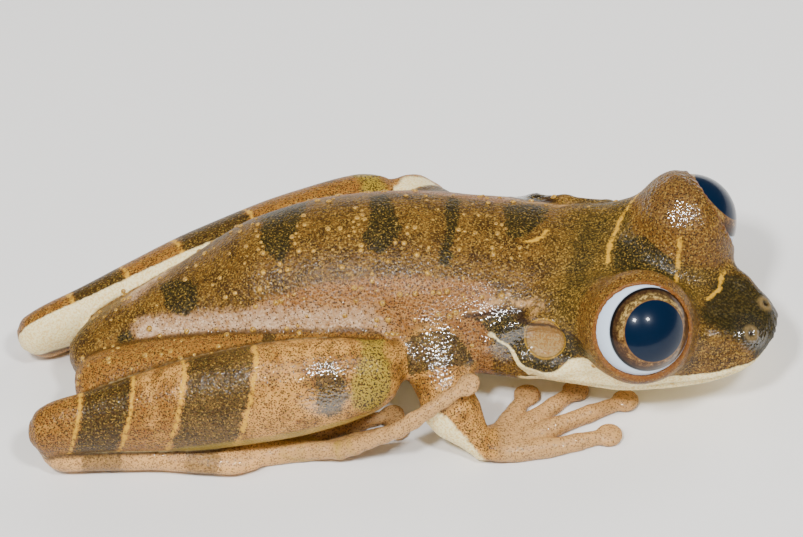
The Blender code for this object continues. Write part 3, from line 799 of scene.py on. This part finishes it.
# The dark patch round the eardrum, with the fold over it, and the cream of the lips and throat.
ear_top = np.interp(at, (30.0, 31.0, 33.1, 35.2, 38.0, 40.4), (8.3, 8.5, 8.7, 8.5, 8.4, 8.1))
ear_low = np.interp(at, (31.0, 32.5, 34.2, 35.9, 37.7, 39.4, 40.7), (8.2, 6.9, 5.7, 5.5, 6.0, 6.8, 7.2))
mask = np.minimum.reduce([ear_top - height, height - ear_low, np.abs(left) - 3.5, at - 30.5, 41.3 - at])
dark = most(on_body, dark, mask)
beside = on_body & (np.abs(left) > 3.4)
# Painted shadow under the fold and painted highlight along its crest: how far each point is from either line.
fold, ridge_line = (np.where(beside, from_line(at, height, row), FAR_OFF) for row in (FOLD_SHADOW_LINE, HIGHLIGHT_CREST_LINE))

lip_top = np.interp(
    at, (32.2, 33.2, 34.1, 34.9, 36.2, 37.6, 38.5, 40.3, 41.2, 43.1, 45.2, 46.6, 48.4, 50.0, 50.9),
    (7.7, 7.0, 6.3, 5.8, 5.7, 5.9, 6.4, 6.9, 6.3, 5.5, 5.3, 4.9, 4.9, 5.2, 5.2),
)
lip_low = np.interp(at, (32.2, 33.2, 33.9, 34.6, 35.2), (7.5, 6.75, 5.9, 5.0, 4.0))
jaw = middle - LIP_LINE_DROP
on_head = body * cover(at, 30.4, 32.0)
lip = np.minimum(lip_top - height, height - np.maximum(jaw, lip_low))
lip = on_head * np.clip(lip / 0.5 + 0.5, 0, 1)
throat = body * cover(jaw - height, 0.0, 0.25) * cover(at, 33.0, 35.0)
line += 9 * cover(height, 11.3, 11.5) * cover(at, 41.5, 42.5)
dark -= 3 * cover(height, 9.7, 11.0) * cover(at, 38.5, 39.5)
# Painted shade: how far each point is from the groove where the lips meet, which is darkened.
mouth = np.where((at > MOUTH_CORNER) & on_body, np.abs(height - jaw), FAR_OFF)

# Bars, mossy knee, brown heel and pale inner side of the shanks; the bars go on over the other limbs.
for name, side in SIDES:
    length = np.linalg.norm(np.array(HEEL[name]) - SHIN_TOP[name])
    share, shank = shares["shank" + name], part["shank" + name]
    axis = np.array(SHIN_TOP[name]) + share[:, None] * (np.array(HEEL[name]) - SHIN_TOP[name])
    raised = height - axis[:, 2]
    slant = share + 0.5 * raised / length
    leaned = share * length + 0.15 * raised
    outer = shank > 0.5
    for low, high in SHANK_BARS:
        bar = np.minimum(slant - low, high - slant) * length
        dark = most(outer, dark, bar)
        line = least(outer, line, np.abs(bar + 0.22))
    moss = most(outer, moss, 1.0 - np.hypot((leaned - 0.2) / 1.6, (raised - 0.7) / 2.2))
    behind = 1.0 - np.hypot((leaned - 3.0) / 2.0, (raised - 1.0) / 2.9)
    dark = most(outer, dark, 0.9 * behind - 0.35)
    freckled = most(outer, freckled, behind)
    freckled = most(outer & (share > 0.9), freckled, (share - 0.9) * 6)
    browned += shank * np.maximum(cover(share, 0.55, 0.85), side) + part["thigh" + name]
    lime += shank * cover(-1.0 - raised, 0, 0.8) * cover(0.75 - share, 0, 0.2)
    leaning = side * (axis[:, 1] - points[:, 1]) - (0.8 if side < 0 else 0.32) * raised
    inner_side += shank * cover(share, 0.04, 0.14) * cover(leaning, -0.4, 0.3)
    near_tip = np.min([distance(points, toe[-1]) for toe in TOES[name]], 0)
    lime += part["toes" + name] * cover(far["toes" + name], 0.05, 0.3) * cover(near_tip, 1.7, 2.4)
    for limb, low, high, span in LIMB_BARS:
        bar = np.minimum(shares[limb + name] - low, high - shares[limb + name]) * span
        dark = most(part[limb + name] > 0.5, dark, bar - 0.15)


def on_both(*limbs):
    """How much of each point belongs to some limbs of either side."""
    return sum(part[limb + name] for limb in limbs for name in EYES)


belly = body * cover(middle - 1.2 - height, 0.0, 1.2)
flank = body * (1 - cover(at, 31, 33)) * cover(np.abs(around), 3.2, 5.2) * (1 - belly)
limb_under = on_both("shank", "thigh") * cover(2.6 - height, 0, 1.2)
feet = on_both("foot", "toes", "fingers")
elbow = part["armleft"] * cover(shares["armleft"], 0.45, 0.8) * cover(height, 4.3, 5.4)
forearm_x = ELBOW["right"][0] + shares["forearmright"] * (WRIST["right"][0] - ELBOW["right"][0])
elbow += part["forearmright"] * cover(forearm_x - points[:, 0], -0.2, 0.9)
pale = np.clip(np.maximum.reduce([lip, throat, belly, 0.7 * limb_under, inner_side, elbow]), 0, 1)
by_thigh = np.minimum(far["thighright"], far["thighleft"])
band = body * cover(at, 3, 6) * (1 - cover(at, 21, 27)) * (1 - cover(by_thigh, 0.6, 3.0))
flank = np.maximum(flank, band)
limbs = on_both("thigh", "shank", "arm", "forearm", "foot")
# Brown neck and snout, and the edges of the lids, eardrums and nostrils, and painted shade in the creases.
neck = on_body * cover(at, 36.4, 37.4) * (1 - cover(at, 38.4, 39.4)) * (1 - cover(np.abs(around), 3.4, 4.6))
snout = body * cover(at, 46.0, 47.5) * (1 - cover(np.abs(around), 1.6, 3.4))
on_top = body * cover(at, 34, 38) * cover(height, 7.0, 8.2) * (1 - snout)
for name, side in SIDES:
    thigh, shank = part["thigh" + name], part["shank" + name]
    foot, toes = part["foot" + name], part["toes" + name]
    # Painted shade: a dark line where the thigh meets the shank or body, and the shank meets the foot or
    # toes.
    for a, b in ((thigh, shank), (thigh, body), (shank, foot), (shank, toes)):
        crease = np.maximum(crease, np.clip(4 * a * b, 0, 1))
    off_eye = distance(points, EYES[name])
    turned = angle_from(points, EYES[name], LID_WAYS[name]) - LID_ANGLES[name]
    rim = least(off_eye < LID_RADIUS + 0.8, rim, np.radians(turned) * LID_RADIUS)
    brow = np.maximum(brow, 1 - cover(off_eye, LID_RADIUS + 0.1, LID_RADIUS + 1.0))
    axial, radial = polar(points, EARS[name], EAR_WAYS[name])
    drum = least(np.abs(axial) < 1.5, drum, radial)
    drum_top = np.where(drum < 1.6, cover(height - EARS[name][2], -0.9, 0.9), drum_top)
    # Distance from each nostril: its ring is painted pale, partly its own beige and partly a highlight, and
    # its pit dark as shade.
    nose = np.minimum(nose, distance(points, NOSTRILS[name] + 0.1 * NOSE_WAYS[name]))

WET_SPOTS = (
    (place(43.0, 4.0, 12.5), 3.0), (place(33.0, -6.6, 7.6), 2.6), (place(30.5, -6.4, 8.2), 2.2),
    (place(33.2, 6.6, 7.6), 2.6), (place(50.3, -1.2, 6.9), 1.9), (place(27.0, -7.0, 7.4), 2.4),
    ((6.6, -8.6, 5.4), 2.4), ((-1.9, -10.6, 7.2), 2.6),
)
for spot_at, across in WET_SPOTS:
    wet = np.maximum(wet, 1 - cover(distance(points, spot_at), 0.4 * across, across))


def give(mesh, name, values):
    """Gives each vertex of a mesh a value under a name."""
    mesh.attributes.new(name, "FLOAT", "POINT").data.foreach_set("value", np.asarray(values, np.float32))


features = dict(
    wet=wet, crease=crease, browned=browned, nose=nose, drum_top=drum_top, dark=dark, line=line, pale=pale,
    flank=flank, band=band, feet=feet, limbs=limbs, snout=snout, neck=neck, on_top=on_top, brow=brow, rim=rim,
    drum=drum, mouth=mouth, fold=fold, ridge_line=ridge_line, moss=moss, freckled=freckled, lime=lime,
)
for name, values in features.items():
    give(skin_mesh, name, values)


# Colour and wetness of the skin. Tan ground with fine golden grain, olive patches edged with yellow, a
# red-brown flank with a pale network, cream lips and belly; all of it a granular, moist surface.
# Painted shade darkens the creases, the line under the fold, the lips' groove and the nostrils' pits; painted
# highlight lightens the fold's crest, the eardrums' rims and, in part, the nostrils' rings.
def linear(*screen):
    """A colour given as seen on a screen, from 0 to 255."""
    return tuple(c / 255 / 12.92 if c < 10 else ((c / 255 + 0.055) / 1.055) ** 2.4 for c in screen) + (1,)


def add(kind, sockets=(), **settings):
    """Adds a node to the tree that is being built."""
    made = tree.nodes.new(kind)
    for key, value in settings.items():
        setattr(made, key, value)
    plug(made, sockets)
    return made


def reckon(how, a, b=0.0, c=0.0):
    return add("ShaderNodeMath", ((0, a), (1, b), (2, c)), operation=how).outputs["Value"]


def feature(name):
    """One of the piece's own attributes."""
    return add("ShaderNodeAttribute", attribute_name=name).outputs["Fac"]


def frayed(name, amount):
    """An attribute made uneven, so that what it bounds gets a ragged edge."""
    return reckon("MULTIPLY_ADD", ragged, amount, feature(name))


def away(name, value):
    """How far an attribute is from a value."""
    return reckon("ABSOLUTE", reckon("SUBTRACT", feature(name), value))


def grain(size, detail, rough):
    """Soft noise with spots of a size in millimetres, from 0 to 1."""
    sockets = (("Vector", spot), ("Scale", 1 / (size * MM)), ("Detail", detail), ("Roughness", rough))
    return add("ShaderNodeTexNoise", sockets).outputs["Fac"]


def cells_of(scale, kind):
    """Rounded cells, so many to the metre."""
    sockets = (("Vector", spot), ("Scale", scale), ("Randomness", 1.0))
    return add("ShaderNodeTexVoronoi", sockets, feature=kind).outputs


def between(value, low, high, start=0.0, end=1.0):
    """Turns a value from low to high into one from start to end, smoothly and no further."""
    sockets = (("Value", value), ("From Min", low), ("From Max", high), ("To Min", start), ("To Max", end))
    return add("ShaderNodeMapRange", sockets, interpolation_type="SMOOTHSTEP").outputs["Result"]


def over(share, under, top):
    """One colour laid over another."""
    return add("ShaderNodeMix", ((0, share), (6, under), (7, top)), data_type="RGBA").outputs[2]


def layers(colour, rows):
    """Lays colours over a first one, each where a value goes from low to high, up to its largest share."""
    for value, low, high, share, top in rows:
        colour = over(between(value, low, high, 0, share), colour, top)
    return colour


TAN, BROWN, UMBER = linear(102, 70, 24), linear(68, 44, 13), linear(30, 17, 6)
SAND, GOLD, OCHRE = linear(204, 146, 72), linear(184, 146, 66), linear(140, 92, 36)
OLIVE, MOSS, LIME = linear(27, 23, 8), linear(76, 65, 24), linear(160, 136, 44)
YELLOW, CREAM, PINK = linear(212, 160, 44), linear(255, 238, 182), linear(232, 180, 118)
RUST, NETWORK, BLUSH = linear(118, 66, 28), linear(212, 164, 104), linear(248, 214, 176)
BUTTER = linear(238, 206, 134)
# SHADE_BROWN is the painted shade under the fold, in the nostrils' pits and in the groove where the lips
# meet.
SNOUT, ORANGE, DRUM, SHADE_BROWN = linear(28, 26, 9), linear(126, 74, 28), linear(164, 134, 84), linear(34, 18, 8)
BEADS_PER_M, DOTS_PER_M = 4200.0, 8200.0

hide, tree, coat = new_paint("moist_frog_skin")
spot = add("ShaderNodeTexCoord").outputs["Object"]
blotch = grain(1.5, 3.0, 0.6)
speck = grain(0.145, 2.0, 0.6)
fine = grain(0.13, 1.0, 0.5)
ragged = reckon("MULTIPLY_ADD", grain(0.5, 3.0, 0.7), 1.0, -0.5)

back = over(between(blotch, 0.38, 0.66), TAN, BROWN)
back = over(reckon("MULTIPLY", feature("on_top"), 0.5), back, MOSS)
back = layers(back, ((frayed("brow", 0.5), 0.3, 1.0, 0.35, ORANGE),))
leg = layers(SAND, (
    (reckon("MULTIPLY_ADD", feature("browned"), 0.25, blotch), 0.42, 0.64, 1, OCHRE),
    (grain(0.4, 3.0, 0.7), 0.52, 0.68, 0.5, RUST),
))
colour = over(feature("limbs"), back, leg)

net = cells_of(BEADS_PER_M, "DISTANCE_TO_EDGE")["Distance"]
net = reckon("MULTIPLY", between(net, 0.16, 0.04), between(blotch, 0.3, 0.55))
net = reckon("MULTIPLY", net, between(feature("band"), 0, 1, 0.4, 0.7))
band = between(frayed("band", 2.0), 0.2, 1.3, 0, 0.8)
flank_colour = over(net, over(band, over(speck, RUST, OCHRE), BLUSH), over(band, NETWORK, RUST))
colour = layers(colour, (
    (speck, 0.48, 0.68, 0.62, GOLD),
    (frayed("flank", 0.6), 0.35, 0.85, 0.85, flank_colour),
))
colour = over(reckon("MULTIPLY", feature("feet"), 0.6), colour, PINK)

dots = cells_of(DOTS_PER_M, "F1")
chance = add("ShaderNodeSeparateColor", (("Color", dots["Color"]),)).outputs["Red"]
many = between(feature("freckled"), 0.0, 0.5, 0.25, 0.06)
many = reckon("MULTIPLY_ADD", feature("band"), 0.3, many)
many = reckon("ADD", many, between(feature("limbs"), 0, 1, 0.22, 0))
many = reckon("SUBTRACT", reckon("MULTIPLY_ADD", ragged, -0.5, chance), many)
stipple = reckon("MULTIPLY", between(dots["Distance"], 0.58, 0.36), between(many, -0.05, 0.05))
stipple = reckon("MULTIPLY", stipple, between(feature("feet"), 0, 1, 0.85, 0.6))
colour = over(stipple, colour, UMBER)

snout_colour = layers(SNOUT, ((speck, 0.46, 0.66, 0.5, MOSS),))
patch_colour = layers(OLIVE, ((speck, 0.50, 0.60, 0.7, MOSS), (fine, 0.60, 0.68, 0.6, GOLD)))
patch_share = between(feature("limbs"), 0, 1, 0.9, 0.82)
patch_share = reckon("MULTIPLY_ADD", feature("feet"), -0.3, patch_share)
knee_colour = layers(LIME, ((fine, 0.52, 0.42, 1, OLIVE),))
rust_top = reckon("MULTIPLY_ADD", feature("drum_top"), 0.16, speck)
drum_colour = layers(DRUM, ((rust_top, 0.52, 0.60, 0.7, OCHRE),))
pale_colour = layers(CREAM, ((speck, 0.42, 0.62, 1, BUTTER),))
colour = layers(colour, (
    (frayed("snout", 0.8), 0.2, 0.9, 0.9, snout_colour),
    (frayed("neck", 1.4), 0.5, 1.2, 0.7, patch_colour),
    (frayed("dark", 1.1), -0.1, 0.16, patch_share, patch_colour),
    (frayed("moss", 0.5), -0.05, 0.25, 0.85, knee_colour),
    (frayed("line", 0.6), 0.20, 0.04, 0.85, YELLOW),
    (frayed("drum", 0.1), 1.42, 1.28, 0.9, drum_colour),
    # Painted highlight: a faint yellow ring on the eardrum's raised rim.
    (away("drum", 1.44), 0.08, 0.02, 0.4, YELLOW),
    (frayed("pale", 0.5), 0.35, 0.65, 1, pale_colour),
    (frayed("lime", 0.5), 0.3, 0.9, 0.55, LIME),
    # Painted highlight: a pale, broken line along the crest of the fold over the eardrum.
    (frayed("ridge_line", 0.9), 0.22, -0.1, 0.7, NETWORK),
    # Painted shadow: a dark line under that fold.
    (frayed("fold", 0.3), 0.22, 0.04, 0.85, SHADE_BROWN),
    (feature("rim"), 0.3, -0.1, 0.75, ORANGE),
    # Nostrils: a pale ring, partly the skin's own beige and partly a painted highlight, round a pit darkened
    # as painted shade.
    (away("nose", 0.46), 0.3, 0.0, 0.42, DRUM),
    (feature("nose"), 0.24, 0.12, 0.9, SHADE_BROWN),
    # Painted shade: the groove where the lips meet darkened.
    (feature("mouth"), 0.16, 0.05, 0.85, SHADE_BROWN),
    # Painted shade: the creases between the limbs, the body and the feet darkened to brown.
    (feature("crease"), 0.45, 1.0, 0.8, BROWN),
))

beads = cells_of(BEADS_PER_M, "F1")["Distance"]
relief = reckon("MULTIPLY_ADD", beads, -0.7, reckon("MULTIPLY", blotch, 1.2))
relief = reckon("ADD", relief, reckon("MULTIPLY", fine, 0.35))
sockets = (("Height", relief), ("Strength", 0.55), ("Distance", 0.12 * MM))
bump = add("ShaderNodeBump", sockets).outputs["Normal"]
plug(coat, (
    ("Base Color", colour), ("Roughness", between(speck, 0.3, 0.7, 0.34, 0.56)),
    ("Normal", bump), ("Coat Normal", bump), ("Specular IOR Level", 0.22),
    ("Coat Weight", between(feature("wet"), 0, 1, 0.06, 1.0)), ("Coat Roughness", 0.045), ("Coat IOR", 2.0),
    ("Subsurface Weight", 0.08), ("Subsurface Radius", (1.0, 0.4, 0.2)), ("Subsurface Scale", 0.0006),
))
skin_mesh.materials.append(hide)


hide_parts(*[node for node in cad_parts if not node.startswith("eye")])
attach(skin, "root")


# Warts of the back and thighs, one piece. Low round grains of the same skin, pale gold and set in rows
# along the dark patches, strewn over the skin's surface by geometry nodes where its own share of warts
# says so.
WART_RADIUS, WART_GAP, WART_SEED = 0.21, 0.36, 7
WART_SMALLEST, WART_LARGEST, WART_HIGH = 0.45, 1.15, 0.55
WARTS_PER_M2 = 8e6
IN_ROWS, ON_BACK, LESS_ON_HEAD, ON_THIGHS = 0.8, 0.14, 0.11, 0.16
beside_rows = 1 - cover(rows, 0.22, 0.42)
upper = on_body * cover(height, middle + 0.8, middle + 2.0) * (1 - cover(dark, -0.1, 0.1))
upper *= 1 - cover(at, 45, 46)
thighs = on_both("thigh") * cover(height, 3.0, 4.5)
upper *= ON_BACK - LESS_ON_HEAD * cover(at, 33, 37)
warty = np.clip(beside_rows * IN_ROWS + upper + thighs * ON_THIGHS, 0, 1)
warty *= (features["brow"] < 0.5) * (features["drum"] > 2.2)

bed_mesh = skin_mesh.copy()
bed_mesh.materials.clear()
give(bed_mesh, "warty", warty)
bed = new_object("wart_bed", bed_mesh)

wart_paint, tree, coat = new_paint("gold_warts")
spot = add("ShaderNodeTexCoord").outputs["Object"]
wart_colour = layers(linear(122, 86, 28), ((grain(0.12, 2.0, 0.6), 0.35, 0.65, 1, linear(198, 154, 62)),))
plug(coat, (
    ("Base Color", wart_colour), ("Roughness", 0.42), ("Coat Weight", 0.25), ("Coat Roughness", 0.12),
))

tree = bpy.data.node_groups.new("strewn_warts", "GeometryNodeTree")
tree.interface.new_socket("Surface", in_out="INPUT", socket_type="NodeSocketGeometry")
tree.interface.new_socket("Warts", in_out="OUTPUT", socket_type="NodeSocketGeometry")
for label, kind in (("Radius", "NodeSocketFloat"), ("Gap", "NodeSocketFloat"), ("Seed", "NodeSocketInt")):
    tree.interface.new_socket(label, in_out="INPUT", socket_type=kind)

given = add("NodeGroupInput").outputs
share = add("GeometryNodeInputNamedAttribute", (("Name", "warty"),), data_type="FLOAT").outputs["Attribute"]
strewn = add(
    "GeometryNodeDistributePointsOnFaces",
    (("Mesh", given["Surface"]), ("Distance Min", given["Gap"]), ("Density Max", WARTS_PER_M2),
     ("Density Factor", share), ("Seed", given["Seed"])),
    distribute_method="POISSON",
)
lump = add("GeometryNodeMeshUVSphere", (("Segments", 8), ("Rings", 5), ("Radius", given["Radius"])))
flatter = add("GeometryNodeTransform", (("Geometry", lump.outputs["Mesh"]), ("Scale", (1, 1, WART_HIGH))))
span = ((2, WART_SMALLEST), (3, WART_LARGEST), ("Seed", given["Seed"]))
sizes = add("FunctionNodeRandomValue", span, data_type="FLOAT")
placed = add(
    "GeometryNodeInstanceOnPoints",
    (("Points", strewn.outputs["Points"]), ("Instance", flatter.outputs["Geometry"]),
     ("Rotation", strewn.outputs["Rotation"]), ("Scale", sizes.outputs[1])),
)
whole = add("GeometryNodeRealizeInstances", (("Geometry", placed.outputs["Instances"]),))
smooth = add("GeometryNodeSetShadeSmooth", (("Geometry", whole.outputs["Geometry"]),))
painted = add("GeometryNodeSetMaterial", (("Geometry", smooth.outputs["Geometry"]), ("Material", wart_paint)))
add("NodeGroupOutput", (("Warts", painted.outputs["Geometry"]),))

layer = bed.modifiers.new("warts", "NODES")
layer.node_group = tree
sockets = {item.name: item.identifier for item in tree.interface.items_tree if item.in_out == "INPUT"}
layer[sockets["Radius"]] = WART_RADIUS * MM
layer[sockets["Gap"]] = WART_GAP * MM
layer[sockets["Seed"]] = WART_SEED
baked = bpy.data.meshes.new_from_object(bed.evaluated_get(bpy.context.evaluated_depsgraph_get()))
bed.modifiers.remove(layer)
bpy.data.objects.remove(bed)
bpy.data.meshes.remove(bed_mesh)
warts = new_object("warts", baked)
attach(warts, "root")


# Eyes. Each is a moist ball with a bulging clear front, over a pale blue rim, a dark ring, a bronze iris
# of fine threads and a wide round navy pupil; the lids hold it.
GAZE_YAW, GAZE_PITCH = 42.0, 36.0
PUPIL_ANGLE, IRIS_ANGLE, RING_ANGLE = 38.1, 54.0, 58.0
BULGE = 0.10
NAVY, BLACK = linear(4, 24, 46), linear(16, 13, 14)
BRONZE, THREAD, STRAW = linear(126, 88, 44), linear(48, 28, 16), linear(196, 170, 100)
BLUE_WHITE = linear(206, 222, 240)

ball_paint, tree, coat = new_paint("moist_eyeball")
gaze = feature("gaze")
threads = add("ShaderNodeAttribute", attribute_name="threads").outputs["Vector"]
weave = add("ShaderNodeTexNoise", (("Vector", threads), ("Scale", 0.7), ("Detail", 4.0), ("Roughness", 0.75)))
weave = weave.outputs["Fac"]
upward = add("ShaderNodeSeparateXYZ", (("Vector", threads),)).outputs["Y"]
iris = layers(BRONZE, (
    (upward, -2.0, 9.0, 0.6, STRAW),
    (weave, 0.58, 0.46, 0.85, THREAD),
    (weave, 0.60, 0.68, 0.6, STRAW),
    (gaze, PUPIL_ANGLE + 3.5, PUPIL_ANGLE + 0.5, 0.6, BRONZE),
))
tint = layers(NAVY, (
    (gaze, PUPIL_ANGLE - 0.4, PUPIL_ANGLE + 0.5, 1, iris),
    (gaze, IRIS_ANGLE - 10.0, IRIS_ANGLE - 4.0, 0.9, THREAD),
    (gaze, IRIS_ANGLE - 1.2, IRIS_ANGLE + 0.8, 1, BLACK),
    (gaze, RING_ANGLE - 1.0, RING_ANGLE + 1.5, 1, BLUE_WHITE),
))
plug(coat, (
    ("Base Color", tint), ("Roughness", 0.28), ("Specular IOR Level", 0.1),
    ("Coat Weight", 0.7), ("Coat IOR", 1.28), ("Coat Roughness", 0.02),
))

ROUND, DOWN = 96, 64
for name, side in SIDES:
    eye = EYES[name]
    axis = head_way(side, GAZE_YAW, GAZE_PITCH)
    across = np.cross(axis, (0, 0, 1))
    across /= np.linalg.norm(across)
    over_way = np.cross(across, axis)
    spots, angles, turned = [], [], []
    for row in range(DOWN + 1):
        angle = math.pi * row / DOWN
        clear = BULGE * max(0.0, 1 - (angle / math.radians(IRIS_ANGLE + 4)) ** 2) ** 2
        for k in range(ROUND if 0 < row < DOWN else 1):
            turn = 2 * math.pi * k / ROUND
            out = across * math.cos(turn) + over_way * math.sin(turn)
            spots.append(eye + (EYE_RADIUS + clear) * (axis * math.cos(angle) + out * math.sin(angle)))
            angles.append(math.degrees(angle))
            turned.append((10 * math.cos(turn), 10 * math.sin(turn), 0.3 * math.degrees(angle)))
    faces = []
    for k in range(ROUND):
        after = (k + 1) % ROUND
        faces.append((0, 1 + k, 1 + after))
        faces.append((len(spots) - 1, 1 + (DOWN - 2) * ROUND + after, 1 + (DOWN - 2) * ROUND + k))
        for row in range(DOWN - 2):
            first = 1 + row * ROUND
            faces.append((first + k, first + ROUND + k, first + ROUND + after, first + after))
    ball_mesh = bpy.data.meshes.new("eyeball_" + name)
    ball_mesh.from_pydata([tuple(spot_at * MM) for spot_at in spots], [], faces)
    ball_mesh.shade_smooth()
    give(ball_mesh, "gaze", angles)
    ball_mesh.attributes.new("threads", "FLOAT_VECTOR", "POINT").data.foreach_set("vector", np.ravel(turned))
    ball_mesh.materials.append(ball_paint)
    eyeball = new_object("eyeball_" + name, ball_mesh)
    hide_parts("eye_" + name)
    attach(eyeball, "root")
